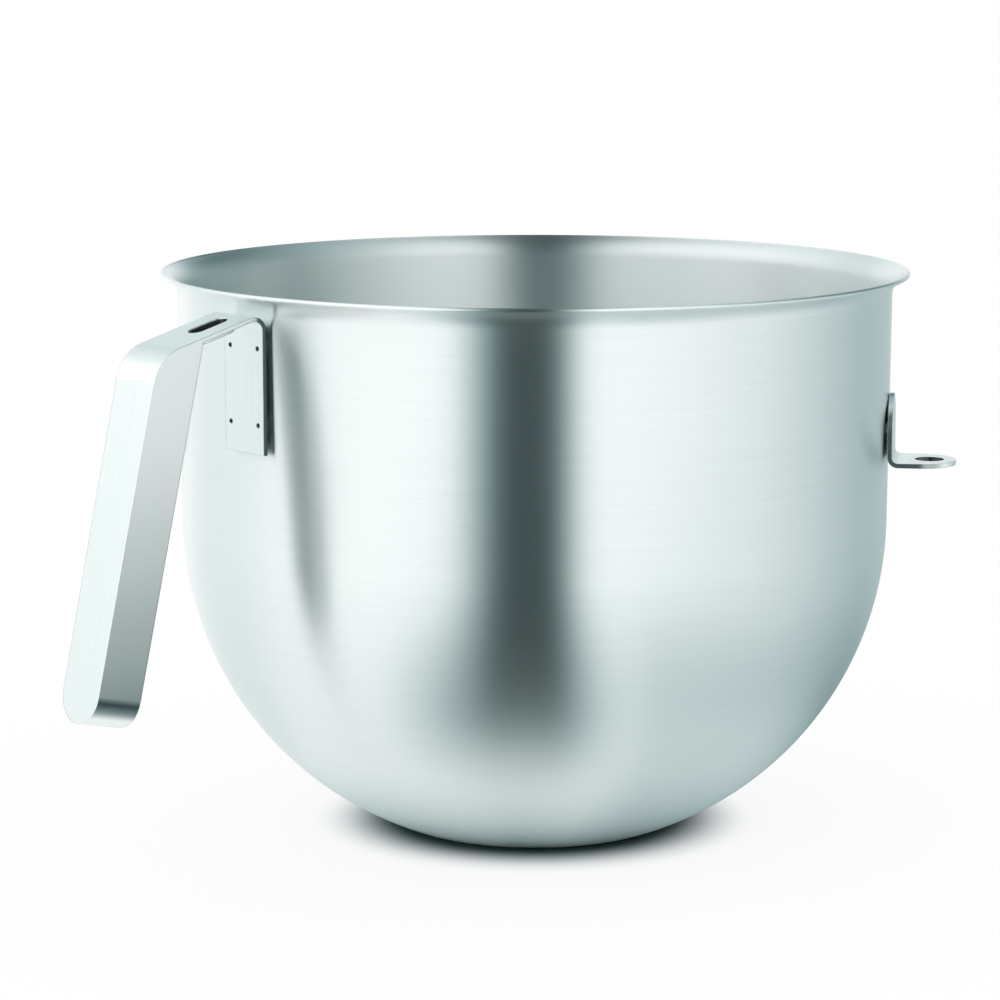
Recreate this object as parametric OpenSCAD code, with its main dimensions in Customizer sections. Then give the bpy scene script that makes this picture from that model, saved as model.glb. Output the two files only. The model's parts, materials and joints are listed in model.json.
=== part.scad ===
// Stand mixer bowl: a stainless bowl with a pressed hook handle, two locating brackets and a rear latch pin.
// Millimetres. The origin is the centre of the flat base, +Z is up, and the handle points along -X.

/* [Bowl shell] */
// Outside radius of the side wall just under the rim
body_r = 118.2; // [110:0.1:130]
// Height from the base to the top of the rim
bowl_h = 186.8; // [170:0.1:220]
// Thickness of the bowl's sheet
sheet_t = 1; // [0.8:0.1:1.5]
// Taper of the side wall, in degrees
wall_taper = 0.5; // [0:0.1:1.5]
// Radius of the rounded lower part, seen in section
bottom_r = 110.8; // [104:0.1:114]
// Radius at which the rounded part would meet the base
base_r = 43.4; // [36:0.1:55]
// Radius that blends the rounded part into the flat base
base_blend_r = 14; // [6:1:20]
// Radius of the rim's outward curve, on its underside
lip_r = 6.1; // [4:0.1:8]
// Angle through which the rim turns outward
lip_turn = 80; // [60:1:88]
// Thickness of the rounded edge of the rim
rim_edge_d = 1.4; // [1.2:0.1:2.4]

/* [Handle] */
// Thickness of the handle's sheet
strip_t = 1.4; // [1:0.1:2]
// Width of the flange, the arm and the upper grip
strip_w = 20; // [16:0.5:26]
// Amount by which the grip is narrower at its round end
grip_narrowing = 0.8; // [0.4:0.1:4]
// Length of the grip before it starts to narrow
grip_plain = 5; // [3:0.5:20]
// Depth of the grip's channel, from its outer face to its edge
grip_depth = 15.7; // [12:0.1:20]
// Length of the grip's outer face, from the elbow to its lower end
grip_len = 106; // [80:0.5:120]
// Lean of the grip away from the bowl, in degrees
grip_lean = 13; // [8:0.1:20]
// Length of the straight part of the arm
arm_len = 27.6; // [22:0.1:36]
// Downward slope of the arm, in degrees
arm_slope = 15; // [8:0.5:20]
// Outside radius of the elbow between arm and grip
elbow_r = 14; // [11:0.5:18]
// Outside radius of the bend between flange and arm
bend_r = 4.6; // [3.5:0.1:6]
// Height of the flange's lower edge above the base
flange_z = 136.5; // [120:0.5:140]
// Height of the flange, up to its bend
flange_h = 39; // [34:0.5:41]
// Gap between the flange and the wall, bridged by the welds
flange_gap = 0.2; // [0.1:0.05:0.5]
// Length of the pressed recess in the arm
recess_l = 14; // [10:0.5:16]
// Width of the pressed recess in the arm
recess_w = 6.4; // [5:0.1:8]
// Depth of the pressed recess
recess_depth = 2.4; // [1:0.1:3]

/* [Welds] */
// Distance between the handle's weld marks, side to side
weld_pitch_y = 14.2; // [10:0.1:16]
// Distance between the handle's weld marks, up and down
weld_pitch_z = 24.1; // [18:0.1:26]
// Height of the handle's lower weld marks above the base
weld_z = 145.7; // [142:0.1:148]
// Diameter of a weld mark
weld_mark_d = 1.7; // [1.2:0.1:2.5]
// Depth of a weld mark
weld_mark_depth = 0.5; // [0.3:0.1:0.7]
// Diameter of the weld between two sheets
weld_d = 4; // [3:0.1:5]

/* [Locating brackets] */
// Angle from the handle to each bracket's side, in degrees
bracket_turn = 131; // [120:1:140]
// Thickness of the bracket's strip
bracket_t = 1.5; // [1:0.1:3]
// Width of the bracket's strip
bracket_w = 24; // [18:0.5:28]
// Height of the tongue's upper face above the base
tongue_z = 125.7; // [110:0.1:135]
// Height of the leg above the tongue's upper face
leg_h = 21.8; // [19:0.1:30]
// Reach of the tongue's end from the wall
tongue_reach = 22.3; // [20:0.1:28]
// Distance from the wall to the centre of the locating hole
hole_reach = 13.6; // [12:0.1:15]
// Diameter of the locating hole
hole_d = 9.5; // [6:0.1:11]
// Inside radius of the bracket's bend
bracket_bend_r = 2; // [1:0.1:3]
// Gap between the leg and the wall, bridged by the welds
bracket_gap = 0.15; // [0.1:0.05:0.5]

/* [Latch pin] */
// Height of the latch pin above the base
pin_z = 136; // [125:0.5:150]
// Diameter of the pin's shank
pin_d = 9.5; // [8:0.1:12]
// Length of the shank, from collar to head
shank_l = 9; // [7:0.1:14]
// Diameter of the pin's head
head_d = 13; // [12:0.1:16]
// Thickness of the pin's head
head_t = 3; // [2:0.1:5]
// Radius round the edge of the head
head_edge_r = 1; // [0.4:0.1:1.8]
// Diameter of the collar welded to the wall
collar_d = 19; // [15:0.5:24]
// Thickness of the collar
collar_t = 2; // [1.5:0.1:3]

/* [Hidden] */
$fn = 96;
// Extra length that carries a cut clear through
clear = 1;

// Centre and end of the rim's curve, in section
rim_end_z = bowl_h - rim_edge_d / 2;
lip_mid_r = lip_r + sheet_t / 2;
lip_c = [body_r + lip_r, rim_end_z - lip_mid_r * sin(lip_turn)];
rim_end = lip_c + lip_mid_r * [-cos(lip_turn), sin(lip_turn)];

// Centre of the rounded lower part, tangent to the wall and passing through the base radius
slope = tan(wall_taper);
inset_r = body_r - lip_c[1] * slope - bottom_r / cos(wall_taper);
inset_d = base_r - inset_r;
bottom_z = (slope * inset_d + sqrt(bottom_r ^ 2 * (1 + slope ^ 2) - inset_d ^ 2)) / (1 + slope ^ 2);
bottom_c = [inset_r + slope * bottom_z, bottom_z];

// Centre of the blend between the rounded part and the base
blend_c = [bottom_c[0] + sqrt((bottom_r - base_blend_r) ^ 2 - (bottom_z - base_blend_r) ^ 2), base_blend_r];

// Outside radius of the wall at a height
function wall_r(z) = body_r - (lip_c[1] - z) * slope;

// Places worked out for the handle
flange_x = -wall_r(flange_z + flange_h) - flange_gap;
bend_turn = 90 + arm_slope;
elbow_turn = 90 - arm_slope - grip_lean;
grip_end_r = (strip_w - grip_narrowing) / 2;
grip_cap_s = grip_len - grip_end_r;
// Where the channel's edge would cross the arm, measured back from the elbow
arm_walled = (grip_depth - elbow_r + elbow_r * cos(elbow_turn)) / sin(elbow_turn);
wall_start = arm_walled - strip_t / tan(elbow_turn);

// Places worked out for the brackets
bracket_x = wall_r(tongue_z + leg_h) + bracket_gap;
bracket_bend_out = bracket_bend_r + bracket_t;
bracket_weld_z = tongue_z + leg_h / 2;

// Section of the bowl drawn inward by a distance, closed down to the axis
module bowl_section(inset) {
    intersection() {
        difference() {
            union() {
                translate(bottom_c) circle(bottom_r - inset);
                polygon([
                    [0, bottom_c[1]],
                    [wall_r(bottom_c[1]) - inset, bottom_c[1]],
                    [body_r - inset, lip_c[1]],
                    [body_r - inset, bowl_h + clear],
                    [0, bowl_h + clear]
                ]);
            }
            base_corner(inset);
        }
        translate([0, inset]) square([body_r, bowl_h + 2 * clear]);
    }
}

// The corner outside the blend that joins the rounded part to the base
module base_corner(inset) {
    touch = (blend_c - bottom_c) / norm(blend_c - bottom_c) * (bottom_r + clear);
    difference() {
        polygon([blend_c, [blend_c[0], -clear], bottom_c + touch + [0, -clear], bottom_c + touch]);
        translate(blend_c) circle(base_blend_r - inset);
    }
}

// Section of the rim: a curved strip that ends in a rounded edge
module rim_section() {
    intersection() {
        translate(lip_c) difference() {
            circle(lip_mid_r + sheet_t / 2);
            circle(lip_r);
        }
        polygon([
            lip_c,
            lip_c + [-2 * lip_mid_r, 0],
            lip_c + [-2 * lip_mid_r, 2 * lip_mid_r],
            lip_c + 2 * lip_mid_r * [-cos(lip_turn), sin(lip_turn)]
        ]);
    }
    translate(rim_end) circle(d = rim_edge_d);
}

// Spun stainless shell: flat base, rounded lower part, slightly tapered wall and flared rim
module bowl_shell() {
    color("gainsboro") rotate_extrude() {
        difference() {
            bowl_section(0);
            bowl_section(sheet_t);
            translate([0, lip_c[1]]) square([2 * body_r, bowl_h]);
        }
        rim_section();
    }
}

// Outside form of the side wall, used to seat what is welded to it
module wall_form() {
    translate([0, 0, bottom_z])
        cylinder(r1 = wall_r(bottom_z), r2 = body_r, h = lip_c[1] - bottom_z, $fn = 180);
}

// Part of a circle, from one angle through another, closed at its centre
module sector(radius, from, turn) {
    intersection() {
        circle(radius);
        polygon([[0, 0], for (part = [0, 0.5, 1]) 2 * radius * [cos(from + part * turn), sin(from + part * turn)]]);
    }
}

// Carries a form to the end of a bend in the handle's side view
module after_bend(radius, turn) {
    translate([-radius, 0]) rotate(turn) translate([radius, 0]) children();
}

// Carries a form to the start of the arm, where +Y runs along the arm and its upper face is at X = 0
module at_arm() {
    translate([flange_x, flange_z + flange_h]) after_bend(bend_r, bend_turn) children();
}

// Carries a form to the start of the grip, where +Y runs down the grip and its outer face is at X = 0
module at_grip() {
    at_arm() translate([0, arm_len]) after_bend(elbow_r, elbow_turn) children();
}

// A point of the arm seen from the start of the grip: below the upper face, and back from the elbow
function arm_point(below, back) = [-elbow_r, 0]
    + (elbow_r - below) * [cos(elbow_turn), -sin(elbow_turn)] - back * [sin(elbow_turn), cos(elbow_turn)];

// Side view of the handle, with its channel filled
module handle_side() {
    translate([flange_x - strip_t, flange_z]) square([strip_t, flange_h]);
    translate([flange_x - bend_r, flange_z + flange_h]) difference() {
        sector(bend_r, 0, bend_turn);
        circle(bend_r - strip_t);
    }
    at_grip() {
        translate([-elbow_r, 0]) sector(elbow_r, 0, -elbow_turn);
        polygon([
            [-elbow_r, 0], [0, 0], [0, grip_len + clear], [-grip_depth, grip_len + clear],
            arm_point(strip_t, wall_start), arm_point(strip_t, arm_len),
            arm_point(0, arm_len), arm_point(0, 0)
        ]);
    }
}

// Side view of the space inside the channel, seen from the start of the grip and open at the channel's edge
module channel_side() {
    translate([-elbow_r, 0]) sector(elbow_r - strip_t, 0, -elbow_turn);
    polygon([
        [-elbow_r, 0], [-strip_t, 0], [-strip_t, grip_len + clear], [-grip_depth - clear, grip_len + clear],
        arm_point(strip_t, wall_start + clear / sin(elbow_turn)), arm_point(strip_t, 0)
    ]);
}

// What lies outside the grip's narrowing outline and its round end, with the outline drawn inward
module outside_grip(inset) {
    half = strip_w / 2 - inset;
    end_r = grip_end_r - inset;
    top = half + (grip_plain + elbow_r) * (half - end_r) / (grip_cap_s - grip_plain);
    translate([-grip_depth - 2 * clear, 0, 0]) rotate([0, 90, 0]) linear_extrude(grip_depth + 4 * clear)
        difference() {
            translate([-strip_w, -elbow_r]) square([2 * strip_w, elbow_r + grip_len + 2 * clear]);
            polygon([
                [top, -elbow_r - clear], [top, -elbow_r], [end_r, grip_cap_s],
                [-end_r, grip_cap_s], [-top, -elbow_r], [-top, -elbow_r - clear]
            ]);
            translate([0, grip_cap_s]) circle(end_r);
        }
}

// A stadium as long and as wide as stated, centred, with its length along +Y and standing on its flat side
module stadium(length, width, height) {
    linear_extrude(height) {
        square([width, length - width], center = true);
        for (end = [-1, 1]) translate([0, end * (length - width) / 2]) circle(d = width, $fn = 64);
    }
}

// Carries a form to the recess in the arm, with its depth along -Z
module at_recess() {
    at_arm() translate([0, (arm_len - wall_start) / 2, 0]) rotate([0, 90, 0]) children();
}

// Places along the handle's flange where it is welded to the wall
module at_handle_welds() {
    for (y = [-1, 1], z = [0, 1])
        translate([flange_x, weld_z + z * weld_pitch_z, y * weld_pitch_y / 2]) rotate([0, 90, 0]) children();
}

// Hook handle pressed from one sheet: welded flange, bend, sloping arm, elbow and channel grip
module handle() {
    color("silver") difference() {
        rotate([90, 0, 0]) difference() {
            union() {
                linear_extrude(strip_w, center = true) handle_side();
                at_recess() translate([0, 0, -recess_depth - strip_t])
                    stadium(recess_l + 2 * strip_t, recess_w + 2 * strip_t, recess_depth + strip_t / 2);
                at_handle_welds() translate([0, 0, -strip_t / 2])
                    cylinder(d = weld_d, h = strip_t / 2 + flange_gap + 2 * sheet_t);
            }
            at_grip() {
                outside_grip(0);
                difference() {
                    linear_extrude(strip_w - 2 * strip_t, center = true) channel_side();
                    outside_grip(strip_t);
                }
            }
            at_recess() translate([0, 0, -recess_depth]) stadium(recess_l, recess_w, recess_depth + clear);
            at_handle_welds() translate([0, 0, -strip_t - clear])
                cylinder(d = weld_mark_d, h = weld_mark_depth + clear, $fn = 32);
        }
        wall_form();
    }
}

// Round end of a strip, pointing along +Y and overlapping the strip's straight part
module strip_end(radius) {
    intersection() {
        circle(radius);
        translate([-radius, -clear]) square(2 * radius);
    }
}

// Bracket at +X: a leg welded to the wall, a bend and a tongue with the locating hole
module bracket() {
    round_r = bracket_w / 2;
    tongue_end = wall_r(tongue_z) + tongue_reach;
    bend_c = [bracket_x + bracket_bend_out, tongue_z + bracket_bend_r];
    difference() {
        union() {
            translate([bracket_x, 0, 0]) rotate([90, 0, 90]) linear_extrude(bracket_t) {
                translate([-round_r, bend_c[1]]) square([bracket_w, leg_h - round_r - bracket_bend_r]);
                translate([0, tongue_z + leg_h - round_r]) strip_end(round_r);
            }
            rotate([90, 0, 0]) linear_extrude(bracket_w, center = true) intersection() {
                translate(bend_c) difference() {
                    circle(bracket_bend_out);
                    circle(bracket_bend_r);
                }
                translate(bend_c - [2, 2] * bracket_bend_out) square(2 * bracket_bend_out);
            }
            translate([0, 0, tongue_z - bracket_t]) linear_extrude(bracket_t) {
                translate([bend_c[0], -round_r]) square([tongue_end - round_r - bend_c[0], bracket_w]);
                translate([tongue_end - round_r, 0]) rotate(-90) strip_end(round_r);
            }
            for (y = [-1, 1]) translate([bracket_x, y * bracket_w / 4, bracket_weld_z]) rotate([0, -90, 0])
                translate([0, 0, -bracket_t / 2]) cylinder(d = weld_d, h = bracket_t / 2 + bracket_gap + 2 * sheet_t);
        }
        wall_form();
        translate([wall_r(tongue_z) + hole_reach, 0, tongue_z - bracket_t - clear])
            cylinder(d = hole_d, h = bracket_t + 2 * clear);
    }
}

// Bracket on the right of the handle, seen from the front
module locating_bracket_right() {
    color("silver") rotate([0, 0, 180 + bracket_turn]) bracket();
}

// The same bracket on the opposite side of the bowl
module locating_bracket_left() {
    color("silver") rotate([0, 0, bracket_turn]) bracket();
}

// Headed pin at the back of the bowl, midway between the brackets, which a latch on the mixer holds
module latch_pin() {
    seat_r = wall_r(pin_z) - collar_d ^ 2 / (4 * body_r) - clear;
    collar_r = wall_r(pin_z) + collar_t;
    head_r = collar_r + shank_l;
    color("silver") rotate([0, 0, bracket_turn - 90]) difference() {
        translate([0, 0, pin_z]) rotate([0, 90, 0]) rotate_extrude() {
            translate([0, seat_r]) square([collar_d / 2, collar_r - seat_r]);
            translate([0, collar_r - clear]) square([pin_d / 2, shank_l + 2 * clear]);
            translate([0, head_r]) square([head_d / 2 - head_edge_r, head_t]);
            translate([0, head_r]) square([head_d / 2, head_t - head_edge_r]);
            translate([head_d / 2 - head_edge_r, head_r + head_t - head_edge_r]) circle(head_edge_r);
        }
        wall_form();
    }
}

bowl_shell();
handle();
locating_bracket_right();
locating_bracket_left();
latch_pin();
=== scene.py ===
"""A stainless bowl for a bowl-lift stand mixer, dressed in brushed steel in a plain white studio."""

import json
import math

import bmesh
import bpy
from mathutils import Matrix, Vector


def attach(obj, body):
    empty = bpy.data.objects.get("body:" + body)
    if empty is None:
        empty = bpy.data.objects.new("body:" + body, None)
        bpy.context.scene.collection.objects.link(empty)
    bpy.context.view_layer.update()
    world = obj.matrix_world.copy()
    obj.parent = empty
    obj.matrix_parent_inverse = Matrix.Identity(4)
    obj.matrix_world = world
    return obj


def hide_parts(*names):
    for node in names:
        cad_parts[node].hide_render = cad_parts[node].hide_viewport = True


bl_info = {
    "name": "Stand mixer bowl",
    "version": (1, 0, 0),
    "blender": (4, 5, 0),
    "location": "3D View > Sidebar > Mixer Bowl",
    "description": "Finishes a stainless mixer bowl, its handle, brackets and pin, and sets up a studio",
    "category": "Object",
}

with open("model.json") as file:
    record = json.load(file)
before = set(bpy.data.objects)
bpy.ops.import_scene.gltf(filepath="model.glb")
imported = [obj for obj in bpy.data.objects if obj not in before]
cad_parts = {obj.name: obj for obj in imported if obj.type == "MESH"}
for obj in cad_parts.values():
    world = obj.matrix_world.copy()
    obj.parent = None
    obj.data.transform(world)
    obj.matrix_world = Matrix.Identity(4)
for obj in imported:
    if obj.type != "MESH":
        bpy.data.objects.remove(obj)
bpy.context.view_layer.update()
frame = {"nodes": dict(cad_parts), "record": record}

BOWL = "bowl_shell"
HANDLE = "handle"
BRACKETS = ("locating_bracket_right", "locating_bracket_left")
PIN = "latch_pin"
# Horizontal directions in the bowl's frame: from the bowl to the camera, and the camera's right
TO_CAMERA = Vector((-0.6461, -0.7632, 0))
CAMERA_RIGHT = Vector((0.7632, -0.6461, 0))


class Signal:
    """A node socket that takes part in arithmetic, where each operation adds its Math node."""

    def __init__(self, shader, socket):
        self.shader = shader
        self.socket = socket

    def maths(self, operation, *values):
        settings = {"operation": operation}
        return self.shader.node("ShaderNodeMath", settings, dict(enumerate(values)))

    def __add__(self, other):
        return self.maths("ADD", self, other)

    def __radd__(self, other):
        return self.maths("ADD", other, self)

    def __sub__(self, other):
        return self.maths("SUBTRACT", self, other)

    def __rsub__(self, other):
        return self.maths("SUBTRACT", other, self)

    def __mul__(self, other):
        return self.maths("MULTIPLY", self, other)

    def __rmul__(self, other):
        return self.maths("MULTIPLY", other, self)

    def __truediv__(self, other):
        return self.maths("DIVIDE", self, other)

    def __pow__(self, other):
        return self.maths("POWER", self, other)

    def __neg__(self):
        return self.maths("MULTIPLY", self, -1)


class Shader:
    """A node tree that is built from Python expressions."""

    def __init__(self, owner):
        owner.use_nodes = True
        self.tree = owner.node_tree
        self.tree.nodes.clear()

    def node(self, kind, settings=None, sockets=None, output=0):
        """Adds a node: its settings first, then the values or links of its sockets."""
        made = self.tree.nodes.new(kind)
        for name, value in (settings or {}).items():
            if name == "stops":
                self.set_stops(made.color_ramp, value)
            else:
                setattr(made, name, value)
        for name, value in (sockets or {}).items():
            if isinstance(value, Signal):
                self.tree.links.new(value.socket, made.inputs[name])
            else:
                made.inputs[name].default_value = value
        return Signal(self, made.outputs[output]) if len(made.outputs) else None

    @staticmethod
    def set_stops(ramp, stops):
        while len(ramp.elements) < len(stops):
            ramp.elements.new(0.5)
        for element, (position, colour) in zip(ramp.elements, stops):
            element.position = position
            element.color = colour

    def smooth(self, value, start, end):
        """Rises smoothly from 0 to 1 as the value goes from start to end."""
        settings = {"interpolation_type": "SMOOTHSTEP"}
        return self.node("ShaderNodeMapRange", settings, {"Value": value, "From Min": start, "From Max": end})

    def separate(self, vector):
        """The three numbers of a vector."""
        parts = self.node("ShaderNodeSeparateXYZ", None, {0: vector}).socket.node
        return [Signal(self, parts.outputs[index]) for index in range(3)]

    def combine(self, x, y, z):
        return self.node("ShaderNodeCombineXYZ", None, {0: x, 1: y, 2: z})

    def degrees(self, side, front):
        """Angle in degrees from the front direction toward the side."""
        turn = self.node("ShaderNodeMath", {"operation": "ARCTAN2"}, {0: side, 1: front})
        return turn * (180 / math.pi)

    def grey(self, level):
        """Cool grey of a brightness, cooler where it is darker."""
        held = self.node("ShaderNodeMath", {"operation": "MINIMUM"}, {0: level, 1: 1.0})
        return self.combine(level * held ** 0.28, level, level * held ** -0.03)

    def dot(self, vector, direction):
        settings = {"operation": "DOT_PRODUCT"}
        return self.node("ShaderNodeVectorMath", settings, {0: vector, 1: direction}, "Value")

    def noise(self, vector, scale, detail=2.0, roughness=0.5):
        sockets = {"Vector": vector, "Scale": scale, "Detail": detail, "Roughness": roughness}
        return self.node("ShaderNodeTexNoise", None, sockets, "Fac")

    def mix_colour(self, factor, first, second):
        settings = {"data_type": "RGBA"}
        return self.node("ShaderNodeMix", settings, {0: factor, 6: first, 7: second}, 2)

    def finish(self, kind, surface):
        self.node(kind, None, {"Surface": surface})


def colour(values):
    return (values[0], values[1], values[2], 1.0)


class BowlForm(bpy.types.PropertyGroup):
    """Sizes of the spun bowl's section."""

    wall_radius: bpy.props.FloatProperty(
        name="Wall radius", description="Outside radius at the top of the wall", subtype="DISTANCE", unit="LENGTH",
        default=0.1182, min=0.05)
    height: bpy.props.FloatProperty(
        name="Height", description="Height of the rim", subtype="DISTANCE", unit="LENGTH", default=0.1868, min=0.05)
    sheet: bpy.props.FloatProperty(
        name="Sheet", description="Thickness of the steel", subtype="DISTANCE", unit="LENGTH",
        default=0.001, min=0.0005, precision=4)
    taper: bpy.props.FloatProperty(
        name="Taper", description="Lean of the wall from upright", subtype="ANGLE", default=math.radians(0.5), min=0)
    bottom_radius: bpy.props.FloatProperty(
        name="Bottom radius", description="Radius of the rounded lower part", subtype="DISTANCE", unit="LENGTH",
        default=0.1108, min=0.05)
    base_radius: bpy.props.FloatProperty(
        name="Base radius", description="Radius that the rounded part would reach at the floor",
        subtype="DISTANCE", unit="LENGTH", default=0.0434, min=0.01)
    base_blend: bpy.props.FloatProperty(
        name="Base blend", description="Radius of the blend into the flat base", subtype="DISTANCE", unit="LENGTH",
        default=0.014, min=0.002)
    lip_radius: bpy.props.FloatProperty(
        name="Lip radius", description="Radius of the flare, on its outer side", subtype="DISTANCE", unit="LENGTH",
        default=0.0061, min=0.002, precision=4)
    lip_turn: bpy.props.FloatProperty(
        name="Lip turn", description="Angle through which the flare turns", subtype="ANGLE",
        default=math.radians(80), min=0.2)
    edge_radius: bpy.props.FloatProperty(
        name="Edge radius", description="Radius of the rounded edge of the rim", subtype="DISTANCE", unit="LENGTH",
        default=0.0007, min=0.0005, precision=4)
    turns: bpy.props.IntProperty(
        name="Facets", description="Number of facets round the bowl", default=216, min=24)


class SteelFinish(bpy.types.PropertyGroup):
    """Sizes and colours of the steel's finish."""

    tint: bpy.props.FloatVectorProperty(
        name="Steel tint", description="Colour of the polished steel", subtype="COLOR",
        default=(0.84, 0.9, 0.892), min=0, max=1)
    shade: bpy.props.FloatVectorProperty(
        name="Groove tint", description="Colour of the steel at the bottom of its brush lines", subtype="COLOR",
        default=(0.815, 0.874, 0.866), min=0, max=1)
    roughness: bpy.props.FloatProperty(
        name="Roughness", description="Roughness of the bowl's outside", default=0.32, min=0.05, max=0.8)
    inner_roughness: bpy.props.FloatProperty(
        name="Inner roughness", description="Roughness of the bowl's inside", default=0.42, min=0.05, max=0.8)
    stretch: bpy.props.FloatProperty(
        name="Stretch", description="How far the brush lines stretch the highlights up and down", default=0.96,
        min=0, max=1)
    pressed_roughness: bpy.props.FloatProperty(
        name="Pressed roughness", description="Roughness of the handle and brackets", default=0.24, min=0.05, max=0.6)
    edge_round: bpy.props.FloatProperty(
        name="Edge round", description="Radius of the softened edges of the handle and brackets",
        subtype="DISTANCE", unit="LENGTH", default=0.0006, min=0, max=0.003, precision=4)
    line_width: bpy.props.FloatProperty(
        name="Brush line width", description="Usual width of a brush line", subtype="DISTANCE", unit="LENGTH",
        default=0.0006, min=0.0002, max=0.003, precision=5)
    line_depth: bpy.props.FloatProperty(
        name="Brush line depth", description="Depth of the brush lines in the shading", subtype="DISTANCE",
        unit="LENGTH", default=0.0000022, min=0, max=0.0001, precision=7)


class StudioLook(bpy.types.PropertyGroup):
    """Places, sizes and levels of the studio."""

    camera_place: bpy.props.FloatVectorProperty(
        name="Camera place", description="Where the camera stands, in the bowl's frame", subtype="TRANSLATION",
        unit="LENGTH", default=(-0.78410, -0.90838, 0.30512))
    camera_heading: bpy.props.FloatProperty(
        name="Camera heading", description="Angle of the camera's level direction from +X", subtype="ANGLE",
        default=math.radians(49.75))
    camera_drop: bpy.props.FloatProperty(
        name="Camera drop", description="Angle by which the camera looks down", subtype="ANGLE",
        default=0.1622)
    camera_lens: bpy.props.FloatProperty(
        name="Camera lens", description="Focal length in millimetres on a 36 mm sensor", default=130.52)
    floor_size: bpy.props.FloatProperty(
        name="Floor size", description="Half of the floor's width", subtype="DISTANCE", unit="LENGTH",
        default=20.0, min=2.0)
    floor_glow: bpy.props.FloatProperty(
        name="Floor glow", description="Share of plain white in the floor away from the bowl", subtype="FACTOR",
        default=0.88, min=0, max=1)
    light_level: bpy.props.FloatProperty(
        name="Light level", description="Brightness of the soft light that the steel mirrors", default=1.16,
        min=0, max=3)
    top_level: bpy.props.FloatProperty(
        name="Top level", description="Brightness of the light from above", default=1.42, min=0, max=3)
    gap_depth: bpy.props.FloatProperty(
        name="Gap depth", description="Darkness of the gap between the soft lights", subtype="FACTOR",
        default=0.97, min=0, max=1)


def settings():
    return bpy.context.scene.mixer_bowl_steel, bpy.context.scene.mixer_bowl_studio


def arc(centre, radius, start, end, steps):
    """Points of an arc from one angle to another, both included."""
    angles = [start + (end - start) * step / steps for step in range(steps + 1)]
    return [(centre[0] + radius * math.cos(a), centre[1] + radius * math.sin(a)) for a in angles]


def bowl_section(form):
    """Outline of the bowl's sheet as radius and height, from the base's outside round to its inside."""
    slope = math.tan(form.taper)
    middle = form.lip_radius + form.sheet / 2
    neck = form.height - form.edge_radius - middle * math.sin(form.lip_turn)
    inset_r = form.wall_radius - neck * slope - form.bottom_radius / math.cos(form.taper)
    inset_d = form.base_radius - inset_r
    rise = (slope * inset_d + math.sqrt(form.bottom_radius ** 2 * (1 + slope ** 2) - inset_d ** 2)) / (1 + slope ** 2)
    bottom = (inset_r + slope * rise, rise)
    reach = math.sqrt((form.bottom_radius - form.base_blend) ** 2 - (rise - form.base_blend) ** 2)
    blend = (bottom[0] + reach, form.base_blend)
    meet = math.atan2(form.base_blend - rise, reach)
    down = -math.pi / 2
    lip = (form.wall_radius + form.lip_radius, neck)
    end_angle = math.pi - form.lip_turn
    end = (lip[0] + middle * math.cos(end_angle), lip[1] + middle * math.sin(end_angle))
    side = form.edge_radius ** 2 - (form.sheet / 2) ** 2
    outside = arc(blend, form.base_blend, down, meet, 8)
    outside += arc(bottom, form.bottom_radius, meet, -form.taper, 40)[1:]
    outside += arc(lip, form.lip_radius, math.pi, end_angle + math.sqrt(side) / form.lip_radius, 12)
    turn = math.pi - math.asin(form.sheet / 2 / form.edge_radius)
    edge = []
    for step in range(1, 14):
        along = form.edge_radius * math.cos(turn * (step / 7 - 1))
        out = form.edge_radius * math.sin(turn * (step / 7 - 1))
        edge.append((end[0] + along * math.sin(end_angle) + out * math.cos(end_angle),
                     end[1] - along * math.cos(end_angle) + out * math.sin(end_angle)))
    inner = form.lip_radius + form.sheet
    inside = arc(lip, inner, end_angle + math.sqrt(side) / inner, math.pi, 12)
    inside += arc(bottom, form.bottom_radius - form.sheet, -form.taper, meet, 40)
    inside += arc(blend, form.base_blend - form.sheet, meet, down, 8)[1:]
    return outside + edge + inside


def turn_section(name, section, count):
    """A closed piece that a section makes when it turns once about the upright axis."""
    shape = bmesh.new()
    rings = []
    for radius, height in section:
        angles = [2 * math.pi * index / count for index in range(count)]
        rings.append([shape.verts.new((radius * math.cos(a), radius * math.sin(a), height)) for a in angles])
    for low, high in zip(rings, rings[1:]):
        for index in range(count):
            following = (index + 1) % count
            shape.faces.new((low[index], low[following], high[following], high[index]))
    for ring in (rings[0], rings[-1]):
        middle = shape.verts.new((0, 0, ring[0].co.z))
        for index in range(count):
            shape.faces.new((ring[index], ring[(index + 1) % count], middle))
    bmesh.ops.recalc_face_normals(shape, faces=shape.faces)
    for face in shape.faces:
        face.smooth = True
    mesh = bpy.data.meshes.new(name)
    shape.to_mesh(mesh)
    shape.free()
    piece = bpy.data.objects.new(name, mesh)
    bpy.context.scene.collection.objects.link(piece)
    return piece


def set_material(piece, material):
    """Gives a piece one material in place of all that it has."""
    piece.data.materials.clear()
    piece.data.materials.append(material)


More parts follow.
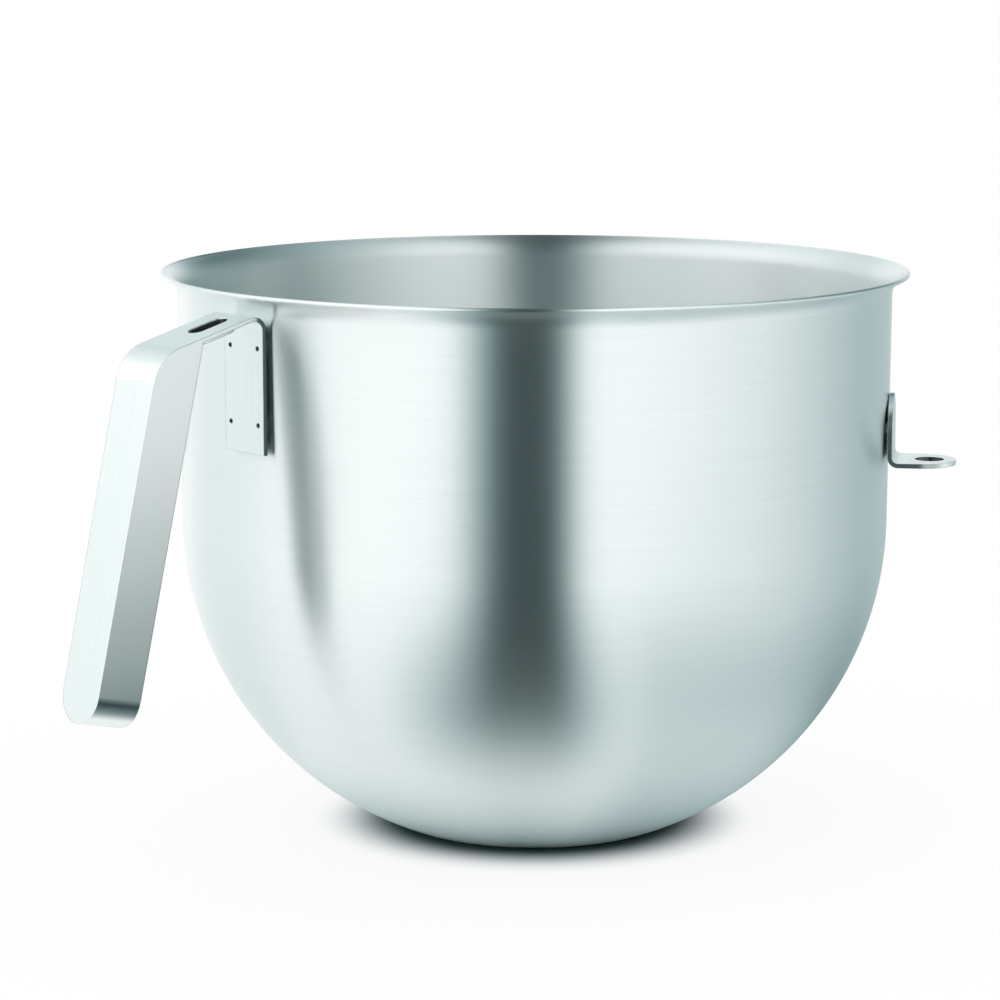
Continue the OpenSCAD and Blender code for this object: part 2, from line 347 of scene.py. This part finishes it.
def brushed_steel(name, along, roughness, stretch=0.0, stretch_turn=0.0, inner=None, edge_round=0.0, shade=None):
    """Steel with fine brush lines. The lines run where the vector that along makes stays nearly the same.

    Stretch widens the highlights on one side only, and stretch_turn turns that side, as a part of a full turn.
    Inner is the roughness of a bowl's inside, where the steel's colour is also painted lighter, and edge_round
    softens the edges of a pressed piece. Shade gives the level of painted shade on the piece and the share of its
    dark marks and painted shade in hollows, from place and facing.
    """
    steel, _ = settings()
    material = bpy.data.materials.new(name)
    shader = Shader(material)
    place = shader.node("ShaderNodeTexCoord", None, None, "Object")
    x, y, z = shader.separate(place)
    lines = along(shader, x, y, z, 1 / steel.line_width)
    fine = shader.noise(lines, 1.0, 2.0, 0.6)
    cloud = shader.noise(place, 22.0, 2.0, 0.5)
    base = shader.mix_colour(shader.smooth(fine, 0.2, 0.65), colour(steel.shade), colour(steel.tint))
    rough = roughness - 0.03 + (1 - fine) * 0.05 + cloud * 0.02
    facing = shader.separate(shader.node("ShaderNodeTexCoord", None, None, "Normal"))
    if inner is not None:
        outward = (facing[0] * x + facing[1] * y) / ((x * x + y * y) ** 0.5 + 0.000001)
        inside = shader.smooth(facing[2] - outward, -0.3, 0.3)
        rough = rough + inside * (inner - roughness)
        # Painted light: the bowl's inside gets a lighter steel colour, which brightens its interior
        base = shader.mix_colour(inside * 0.75, base, (0.905, 0.96, 0.955, 1.0))
    if shade:
        # Painted shade darkens the colour, and dark marks and painted shade in hollows turn it near black
        painted_shade_level, marks_and_painted_shade = shade(shader, x, y, z, facing)
        base = shader.mix_colour(painted_shade_level, (0.0, 0.05, 0.056, 1.0), base)
        base = shader.mix_colour(marks_and_painted_shade, base, (0.012, 0.016, 0.018, 1.0))
    relief = {"Strength": 1.0, "Distance": steel.line_depth, "Height": fine}
    if edge_round:
        relief["Normal"] = shader.node("ShaderNodeBevel", {"samples": 6}, {"Radius": edge_round})
    bump = shader.node("ShaderNodeBump", None, relief, "Normal")
    surface = shader.node("ShaderNodeBsdfPrincipled", None, {
        "Base Color": base, "Metallic": 1.0, "Roughness": rough, "Normal": bump,
        "Anisotropic": stretch, "Anisotropic Rotation": stretch_turn})
    shader.finish("ShaderNodeOutputMaterial", surface)
    return material


def turned_lines(shader, x, y, z, rate):
    """Lines that run round the bowl's axis."""
    radius = (x * x + y * y) ** 0.5
    turn = shader.node("ShaderNodeMath", {"operation": "ARCTAN2"}, {0: y, 1: x})
    return shader.combine(radius * rate, z * rate, turn * 2.2)


def drawn_lines(shader, x, y, z, rate):
    """Lines that run along the handle, which lies in the XZ plane."""
    return shader.combine(x * 16, y * rate, z * 16)


def handle_painted_shade(shader, x, y, z, facing):
    """Painted shade on the handle: darker flanks, darkest towards the foot and on the flange's cut edges, and a dark
    recess; and its dark weld marks.
    """
    across = shader.node("ShaderNodeMath", {"operation": "ABSOLUTE"}, {0: y})
    # Painted shade on the flanks, darkest at the foot and on the flange's cut edges
    flank = shader.smooth(facing[1] * facing[1], 0.45, 0.85)
    edge = shader.smooth(x, -0.1228, -0.1212)
    painted_shade_level = 0.19 + shader.smooth(z, 0.036, 0.08) * 0.23 + shader.smooth(z, 0.06, 0.175) * 0.46
    painted_shade_level = painted_shade_level * (1 - edge) + edge * 0.12
    # The recess lies between the arm's upper face and its floor, and painted shade darkens it
    depth = (0.17618 + (x + 0.1382) * 0.268 - z) * 0.966
    along = shader.node("ShaderNodeMath", {"operation": "ABSOLUTE"}, {0: x + 0.13285})
    recess = shader.smooth(depth, 0.0002, 0.0008) * (1 - shader.smooth(depth, 0.0026, 0.0028))
    recess = recess * (1 - shader.smooth(across, 0.0032, 0.0034)) * (1 - shader.smooth(along, 0.0069, 0.0072))
    low, high = 0.1457, 0.1698
    near_low = (across - 0.0071) * (across - 0.0071) + (z - low) * (z - low)
    near_high = (across - 0.0071) * (across - 0.0071) + (z - high) * (z - high)
    spot = (1 - shader.smooth(near_low ** 0.5, 0.0007, 0.00092)) + (1 - shader.smooth(near_high ** 0.5, 0.0007, 0.00092))
    mark = spot * shader.smooth(-facing[0], 0.0, 0.3) * shader.smooth(x, -0.1206, -0.12)
    # The level of painted shade, then the share of painted shade in the recess and of the dark weld marks
    return 1 - flank * (1 - painted_shade_level), recess * 0.76 + mark * 0.98


def strip_lines(turn):
    """Lines that run across a bracket's strip, turned by an angle about the bowl's axis."""
    def lines(shader, x, y, z, rate):
        level = x * math.cos(turn) + y * math.sin(turn)
        side = y * math.cos(turn) - x * math.sin(turn)
        return shader.combine(level * rate, side * 20, z * rate)
    return lines


def bracket_painted_shade(turn, reach, radius):
    """A bracket's painted shade: darker cut edges, and painted shade on the wall of its hole, which lies at a reach
    from the axis.
    """
    def shade(shader, x, y, z, facing):
        level = x * math.cos(turn) + y * math.sin(turn) - reach
        side = y * math.cos(turn) - x * math.sin(turn)
        edge = facing[1] * math.cos(turn) - facing[0] * math.sin(turn)
        away = (level * level + side * side) ** 0.5
        # Painted shade on the wall of the hole
        hole = 1 - shader.smooth(away, radius, radius + 0.0002)
        # Painted shade on the cut edges, then the share of painted shade in the hole
        return 1 - shader.smooth(edge * edge, 0.4, 0.85) * 0.55, hole * 0.8
    return shade


class MIXERBOWL_OT_shell(bpy.types.Operator):
    """Turns the spun bowl and gives it its brushed finish, with its inside painted lighter"""

    bl_idname = "mixer_bowl.shell"
    bl_label = "Turn the bowl"

    def execute(self, context):
        steel, _ = settings()
        form = context.scene.mixer_bowl_form
        bowl = turn_section("spun_bowl", bowl_section(form), form.turns)
        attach(bowl, "root")
        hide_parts(BOWL)
        set_material(bowl, brushed_steel(
            "spun steel", turned_lines, steel.roughness, steel.stretch, 0.25, inner=steel.inner_roughness))
        return {"FINISHED"}


class MIXERBOWL_OT_handle(bpy.types.Operator):
    """Gives the pressed handle its satin finish and painted shade"""

    bl_idname = "mixer_bowl.handle"
    bl_label = "Finish the handle"

    def execute(self, context):
        steel, _ = settings()
        set_material(frame["nodes"][HANDLE], brushed_steel(
            "pressed steel", drawn_lines, steel.pressed_roughness, edge_round=steel.edge_round, shade=handle_painted_shade))
        return {"FINISHED"}


class MIXERBOWL_OT_brackets(bpy.types.Operator):
    """Gives the two locating brackets their finish and painted shade"""

    bl_idname = "mixer_bowl.brackets"
    bl_label = "Finish the brackets"

    def execute(self, context):
        steel, _ = settings()
        holes = {mount["name"]: mount for mount in frame["record"]["mounts"]}
        for name in BRACKETS:
            hole = holes[name.replace("bracket", "hole")]
            x, y, _ = hole["pos_m"]
            turn = math.atan2(y, x)
            shade = bracket_painted_shade(turn, math.hypot(x, y), hole["dims"]["r_mm"] / 1000)
            set_material(frame["nodes"][name], brushed_steel(
                name + " steel", strip_lines(turn), steel.pressed_roughness, edge_round=steel.edge_round * 0.4,
                shade=shade))
        return {"FINISHED"}


class MIXERBOWL_OT_pin(bpy.types.Operator):
    """Gives the turned latch pin its finish"""

    bl_idname = "mixer_bowl.pin"
    bl_label = "Finish the latch pin"

    def execute(self, context):
        steel, _ = settings()
        set_material(frame["nodes"][PIN], brushed_steel(
            "turned steel", turned_lines, steel.pressed_roughness))
        return {"FINISHED"}


class MIXERBOWL_OT_stage(bpy.types.Operator):
    """Lays the floor, sets the soft light and stands the camera"""

    bl_idname = "mixer_bowl.stage"
    bl_label = "Set up the studio"

    def execute(self, context):
        _, studio = settings()
        context.scene.view_settings.view_transform = "Standard"
        self.lay_floor(studio)
        self.light_world(context.scene, studio)
        self.stand_camera(context.scene, studio)
        return {"FINISHED"}

    @staticmethod
    def dark_gap(shader, angle, near=0.0):
        """Share of the dark gap between the soft lights at an angle from the camera's side, wider near the bowl."""
        left = shader.smooth(angle, -28.5 - 22 * near, -8.5)
        right = shader.smooth(angle, 4, 17 + 10 * near)
        return left * (1 - right)

    @staticmethod
    def either(shader, first, second):
        return shader.node("ShaderNodeMath", {"operation": "MAXIMUM"}, {0: first, 1: second})

    @staticmethod
    def fall(shader, angle):
        """Share of the soft light that is lost to the sides, at a low level."""
        right = shader.smooth(angle, 60, 130) * (1 - shader.smooth(angle, 150, 180)) * 0.46
        left = shader.smooth(-angle, 70, 100) * (1 - shader.smooth(-angle, 120, 160)) * 0.13
        return right + left

    def lay_floor(self, studio):
        half = studio.floor_size
        mesh = bpy.data.meshes.new("floor")
        mesh.from_pydata([(-half, -half, 0), (half, -half, 0), (half, half, 0), (-half, half, 0)], [], [(0, 1, 2, 3)])
        floor = bpy.data.objects.new("floor", mesh)
        bpy.context.scene.collection.objects.link(floor)

        material = bpy.data.materials.new("white floor")
        shader = Shader(material)
        place = shader.node("ShaderNodeTexCoord", None, None, "Object")
        ahead = shader.dot(place, TO_CAMERA)
        aside = shader.dot(place, CAMERA_RIGHT)
        radius = (ahead * ahead + aside * aside) ** 0.5
        angle = shader.degrees(aside, ahead)
        near = 1 - shader.smooth(radius, 0.14, 0.36)
        gap = self.dark_gap(shader, angle, near) * shader.smooth(radius, 0.09, 0.147)
        beyond = shader.smooth(radius, 0.12, 0.175) * (1 - shader.smooth(radius, 0.26, 0.5)) * 0.2
        beside = near * (1 - shader.smooth(angle, -60, -20)) * 0.06 + shader.smooth(angle, 5, 35) * (near * 0.28 + beyond)
        level = (1 - gap * studio.gap_depth) * (1 - beside) * (1 - self.fall(shader, angle))
        # Painted shade round the base, seen only in the steel's reflections of the floor
        level = level * (0.4 + shader.smooth(radius, 0.04, 0.105) * 0.6)
        dim = shader.grey(level)
        glossy = shader.node("ShaderNodeLightPath", None, None, "Is Glossy Ray")
        white = (1.0, 1.0, 1.0, 1.0)
        # Painted contact shadow: the floor's own colour is darkened round the bowl's base
        painted_contact_shadow = shader.grey(0.2 + shader.smooth(radius, 0.048, 0.08) * 0.72)
        lit = shader.node("ShaderNodeBsdfDiffuse", None,
                          {"Color": shader.mix_colour(glossy, painted_contact_shadow, dim)})
        # The floor glows white away from the bowl, a little brighter in reflections; its glow starts just outside the
        # base, which is painted light that fills in the floor's shadow further out
        glow = shader.node("ShaderNodeEmission", None,
                           {"Color": shader.mix_colour(glossy, white, dim), "Strength": 1 + glossy * 0.06})
        share = shader.smooth(radius, 0.0465, 0.076) * studio.floor_glow
        surface = shader.node("ShaderNodeMixShader", None, {0: share, 1: lit, 2: glow})
        shader.finish("ShaderNodeOutputMaterial", surface)
        set_material(floor, material)

    def light_world(self, scene, studio):
        world = bpy.data.worlds.new("soft studio")
        scene.world = world
        world.cycles.sampling_method = "NONE"
        shader = Shader(world)
        way = shader.node("ShaderNodeTexCoord", None, None, "Generated")
        height = shader.separate(way)[2]
        angle = shader.degrees(shader.dot(way, CAMERA_RIGHT), shader.dot(way, TO_CAMERA))
        side = shader.dot(way, CAMERA_RIGHT)
        strip = shader.smooth(side, -0.42, -0.14) * (1 - shader.smooth(side, 0.08, 0.3))
        gap = self.either(shader, self.dark_gap(shader, angle), strip * shader.smooth(height, 0.56, 0.78))
        behind = shader.smooth(angle, 140, 175) + shader.smooth(-angle, 140, 175)
        high = shader.smooth(height - behind * 0.08, 0.07, 0.37)
        right = shader.smooth(angle, 28, 92) * 0.86 + shader.smooth(angle, 130, 160) * 0.06
        left = shader.smooth(-angle, 100, 160) * 0.3 + shader.smooth(-angle, 173, 180) * 0.62
        high_fall = (right + left) * (1 - shader.smooth(height, 0.5, 0.9) * 0.5)
        low_fall = self.fall(shader, angle)
        level = (1 - gap * studio.gap_depth) * (1 - low_fall - (high_fall - low_fall) * high)
        front = (1 - shader.smooth(angle, 70, 130)) * (1 - shader.smooth(-angle, 85, 140))
        lift = shader.smooth(height, 0.08, 0.3) * (1 - shader.smooth(height, 0.35, 0.65) * 0.9)
        level = level * (1 + lift * front * 0.42)
        path = shader.node("ShaderNodeLightPath").socket.node
        camera = Signal(shader, path.outputs["Is Camera Ray"])
        glossy = Signal(shader, path.outputs["Is Glossy Ray"])
        white = (1.0, 1.0, 1.0, 1.0)
        above = shader.smooth(height, 0.1, 0.8) * studio.top_level
        mirrored = shader.node("ShaderNodeBackground", None,
                               {"Color": shader.grey(level), "Strength": studio.light_level})
        plain = shader.node("ShaderNodeBackground", None,
                            {"Color": white, "Strength": camera + (1 - camera) * above})
        soft = shader.node("ShaderNodeMixShader", None, {0: glossy, 1: plain, 2: mirrored})
        shader.finish("ShaderNodeOutputWorld", soft)

    def stand_camera(self, scene, studio):
        data = bpy.data.cameras.new("camera")
        data.sensor_width = 36
        data.lens = studio.camera_lens
        data.clip_start = 0.01
        data.clip_end = 100
        camera = bpy.data.objects.new("camera", data)
        scene.collection.objects.link(camera)
        level = math.cos(studio.camera_drop)
        forward = Vector((math.cos(studio.camera_heading) * level, math.sin(studio.camera_heading) * level,
                          -math.sin(studio.camera_drop)))
        turn = forward.to_track_quat("-Z", "Y").to_matrix().to_4x4()
        camera.matrix_world = Matrix.Translation(Vector(studio.camera_place)) @ turn
        scene.camera = camera


class MIXERBOWL_PT_panel(bpy.types.Panel):
    """Lists the finishing steps of the mixer bowl"""

    bl_idname = "MIXERBOWL_PT_panel"
    bl_label = "Mixer Bowl"
    bl_space_type = "VIEW_3D"
    bl_region_type = "UI"
    bl_category = "Mixer Bowl"

    def draw(self, context):
        for operator in OPERATORS:
            self.layout.operator(operator.bl_idname)
        for group in (context.scene.mixer_bowl_form, *settings()):
            box = self.layout.box()
            for name in group.bl_rna.properties.keys():
                if name not in {"rna_type", "name"}:
                    box.prop(group, name)


OPERATORS = (
    MIXERBOWL_OT_shell,
    MIXERBOWL_OT_handle,
    MIXERBOWL_OT_brackets,
    MIXERBOWL_OT_pin,
    MIXERBOWL_OT_stage,
)
CLASSES = (BowlForm, SteelFinish, StudioLook) + OPERATORS + (MIXERBOWL_PT_panel,)


def register():
    for item in CLASSES:
        bpy.utils.register_class(item)
    bpy.types.Scene.mixer_bowl_form = bpy.props.PointerProperty(type=BowlForm)
    bpy.types.Scene.mixer_bowl_steel = bpy.props.PointerProperty(type=SteelFinish)
    bpy.types.Scene.mixer_bowl_studio = bpy.props.PointerProperty(type=StudioLook)


def unregister():
    del bpy.types.Scene.mixer_bowl_studio
    del bpy.types.Scene.mixer_bowl_steel
    del bpy.types.Scene.mixer_bowl_form
    for item in reversed(CLASSES):
        bpy.utils.unregister_class(item)


def main():
    register()
    bpy.ops.mixer_bowl.shell()
    bpy.ops.mixer_bowl.handle()
    bpy.ops.mixer_bowl.brackets()
    bpy.ops.mixer_bowl.pin()
    bpy.ops.mixer_bowl.stage()


if __name__ == "__main__":
    main()
